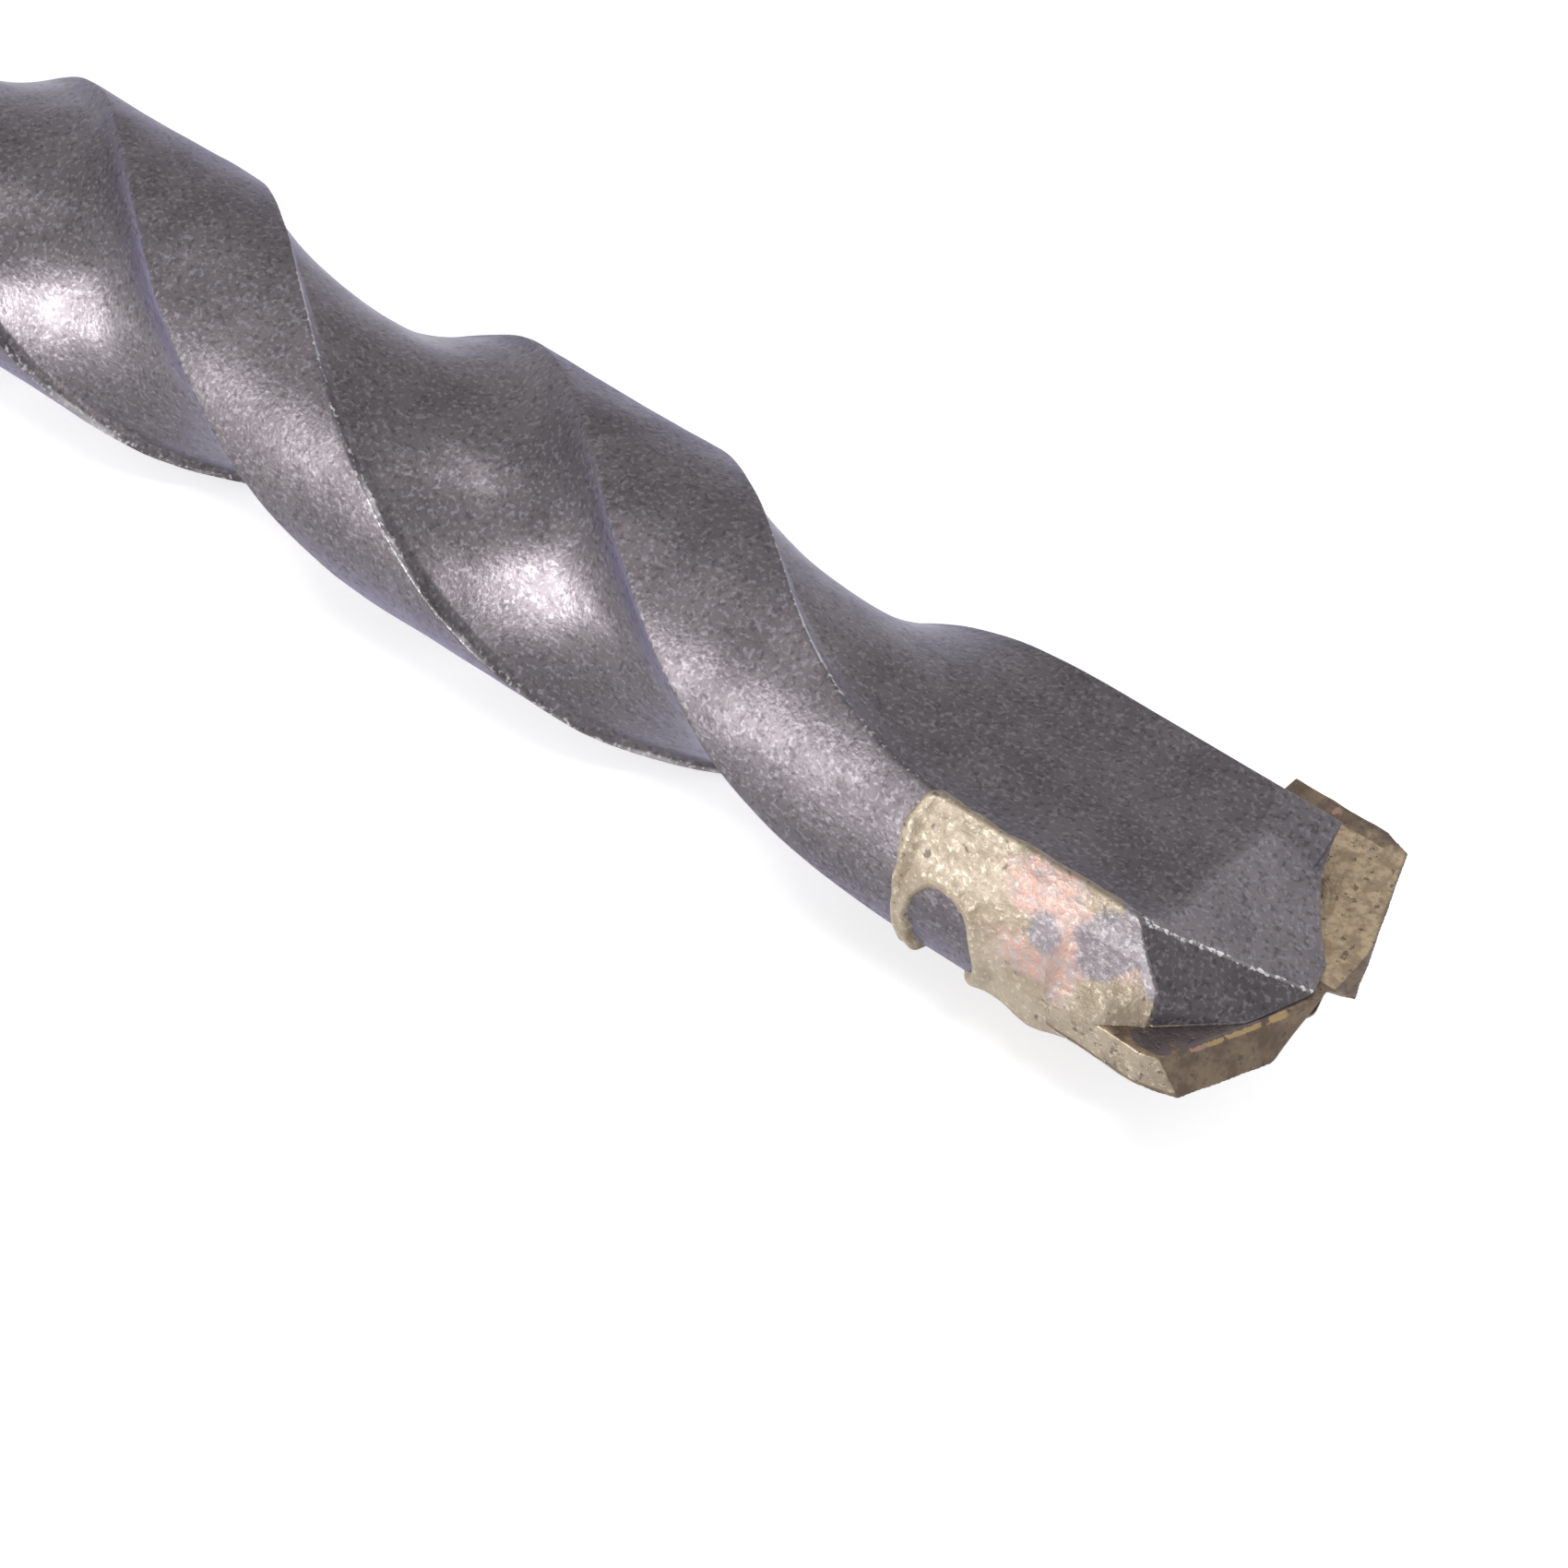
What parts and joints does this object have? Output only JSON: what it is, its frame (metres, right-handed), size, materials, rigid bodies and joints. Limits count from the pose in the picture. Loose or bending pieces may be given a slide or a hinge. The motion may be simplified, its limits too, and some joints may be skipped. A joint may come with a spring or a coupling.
{
  "type": "masonry drill bit",
  "caption": "Carbide-tipped masonry drill bit for a rotary hammer: helical two-flute steel stem, slotted shank, and a brazed-in carbide plate across the head.",
  "frame": {"origin": "on the bit's axis at the rear end of its shank", "axes": "+X along the bit to its tip, Y the way in which the carbide plate is wide, Z square to the plate's broad faces"},
  "size_m": [0.16, 0.0121, 0.01],
  "materials": {
    "steel": "sand-blasted, dark grey",
    "carbide": "ground, worn, with gold-brown filler on it",
    "filler": "run-out filler, matt"
  },
  "bodies": {
    "root": {"drill_body": "steel", "carbide_plate": "carbide", "braze_joint": "filler"}
  },
  "joints": []
}
